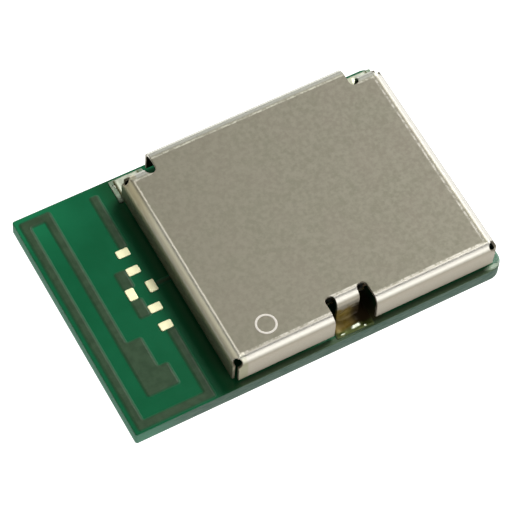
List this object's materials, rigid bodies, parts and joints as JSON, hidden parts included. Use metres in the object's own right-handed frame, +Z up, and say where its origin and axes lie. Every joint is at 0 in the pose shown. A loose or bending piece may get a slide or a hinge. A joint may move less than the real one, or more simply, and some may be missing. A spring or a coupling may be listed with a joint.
{
  "type": "short-range radio module",
  "caption": "Surface-mount radio module: a green board with a printed antenna at one end and a folded metal shielding can over the radio parts.",
  "frame": {"origin": "centre of the flat underside", "axes": "+X along the board from the antenna end to the shielded end, +Y across it to the rear, +Z up"},
  "size_m": [0.0154, 0.01, 0.002],
  "materials": {
    "solder_mask": "green solder mask over laminate, satin gloss",
    "masked_copper": "solder mask over copper, satin gloss",
    "gold_plating": "thin gold plating, satin",
    "nickel_silver": "bare rolled sheet, matt with bright folds",
    "solder": "reflowed solder under clear brown flux",
    "white_ink": "printed ink, matt",
    "mould_compound": "moulded epoxy, matt",
    "tin": "tin plating, satin",
    "crystal_ceramic": "fired ceramic, matt",
    "crystal_lid": "gold-coloured lid, satin",
    "filter_ceramic": "fired ceramic, matt",
    "ferrite": "sintered ferrite, matt",
    "inductor_ceramic": "fired ceramic, matt",
    "capacitor_ceramic": "fired ceramic, satin",
    "resistor_glaze": "glazed ceramic, satin"
  },
  "bodies": {
    "root": {"circuit_board": "solder_mask", "antenna_trace": "masked_copper", "ground_stub": "masked_copper", "link_traces": "masked_copper", "feed_trace": "masked_copper", "tuning_pads": "gold_plating", "tab_lands": "gold_plating", "component_lands": "gold_plating", "signal_lands": "gold_plating", "ground_lands": "gold_plating", "shield_can": "nickel_silver", "front_tab_solder": "solder", "rear_left_tab_solder": "solder", "rear_right_tab_solder": "solder", "index_mark": "white_ink", "radio_chip": "mould_compound", "chip_leads": "tin", "chip_heat_pad": "tin", "main_crystal_base": "crystal_ceramic", "main_crystal_lid": "crystal_lid", "sleep_crystal_base": "crystal_ceramic", "sleep_crystal_lid": "crystal_lid", "balun_filter": "filter_ceramic", "balun_terminals": "tin", "supply_inductor": "ferrite", "supply_inductor_ends": "tin", "matching_inductors": "inductor_ceramic", "matching_inductor_ends": "tin", "capacitors": "capacitor_ceramic", "capacitor_ends": "tin", "resistors": "resistor_glaze", "resistor_ends": "tin"}
  },
  "joints": []
}
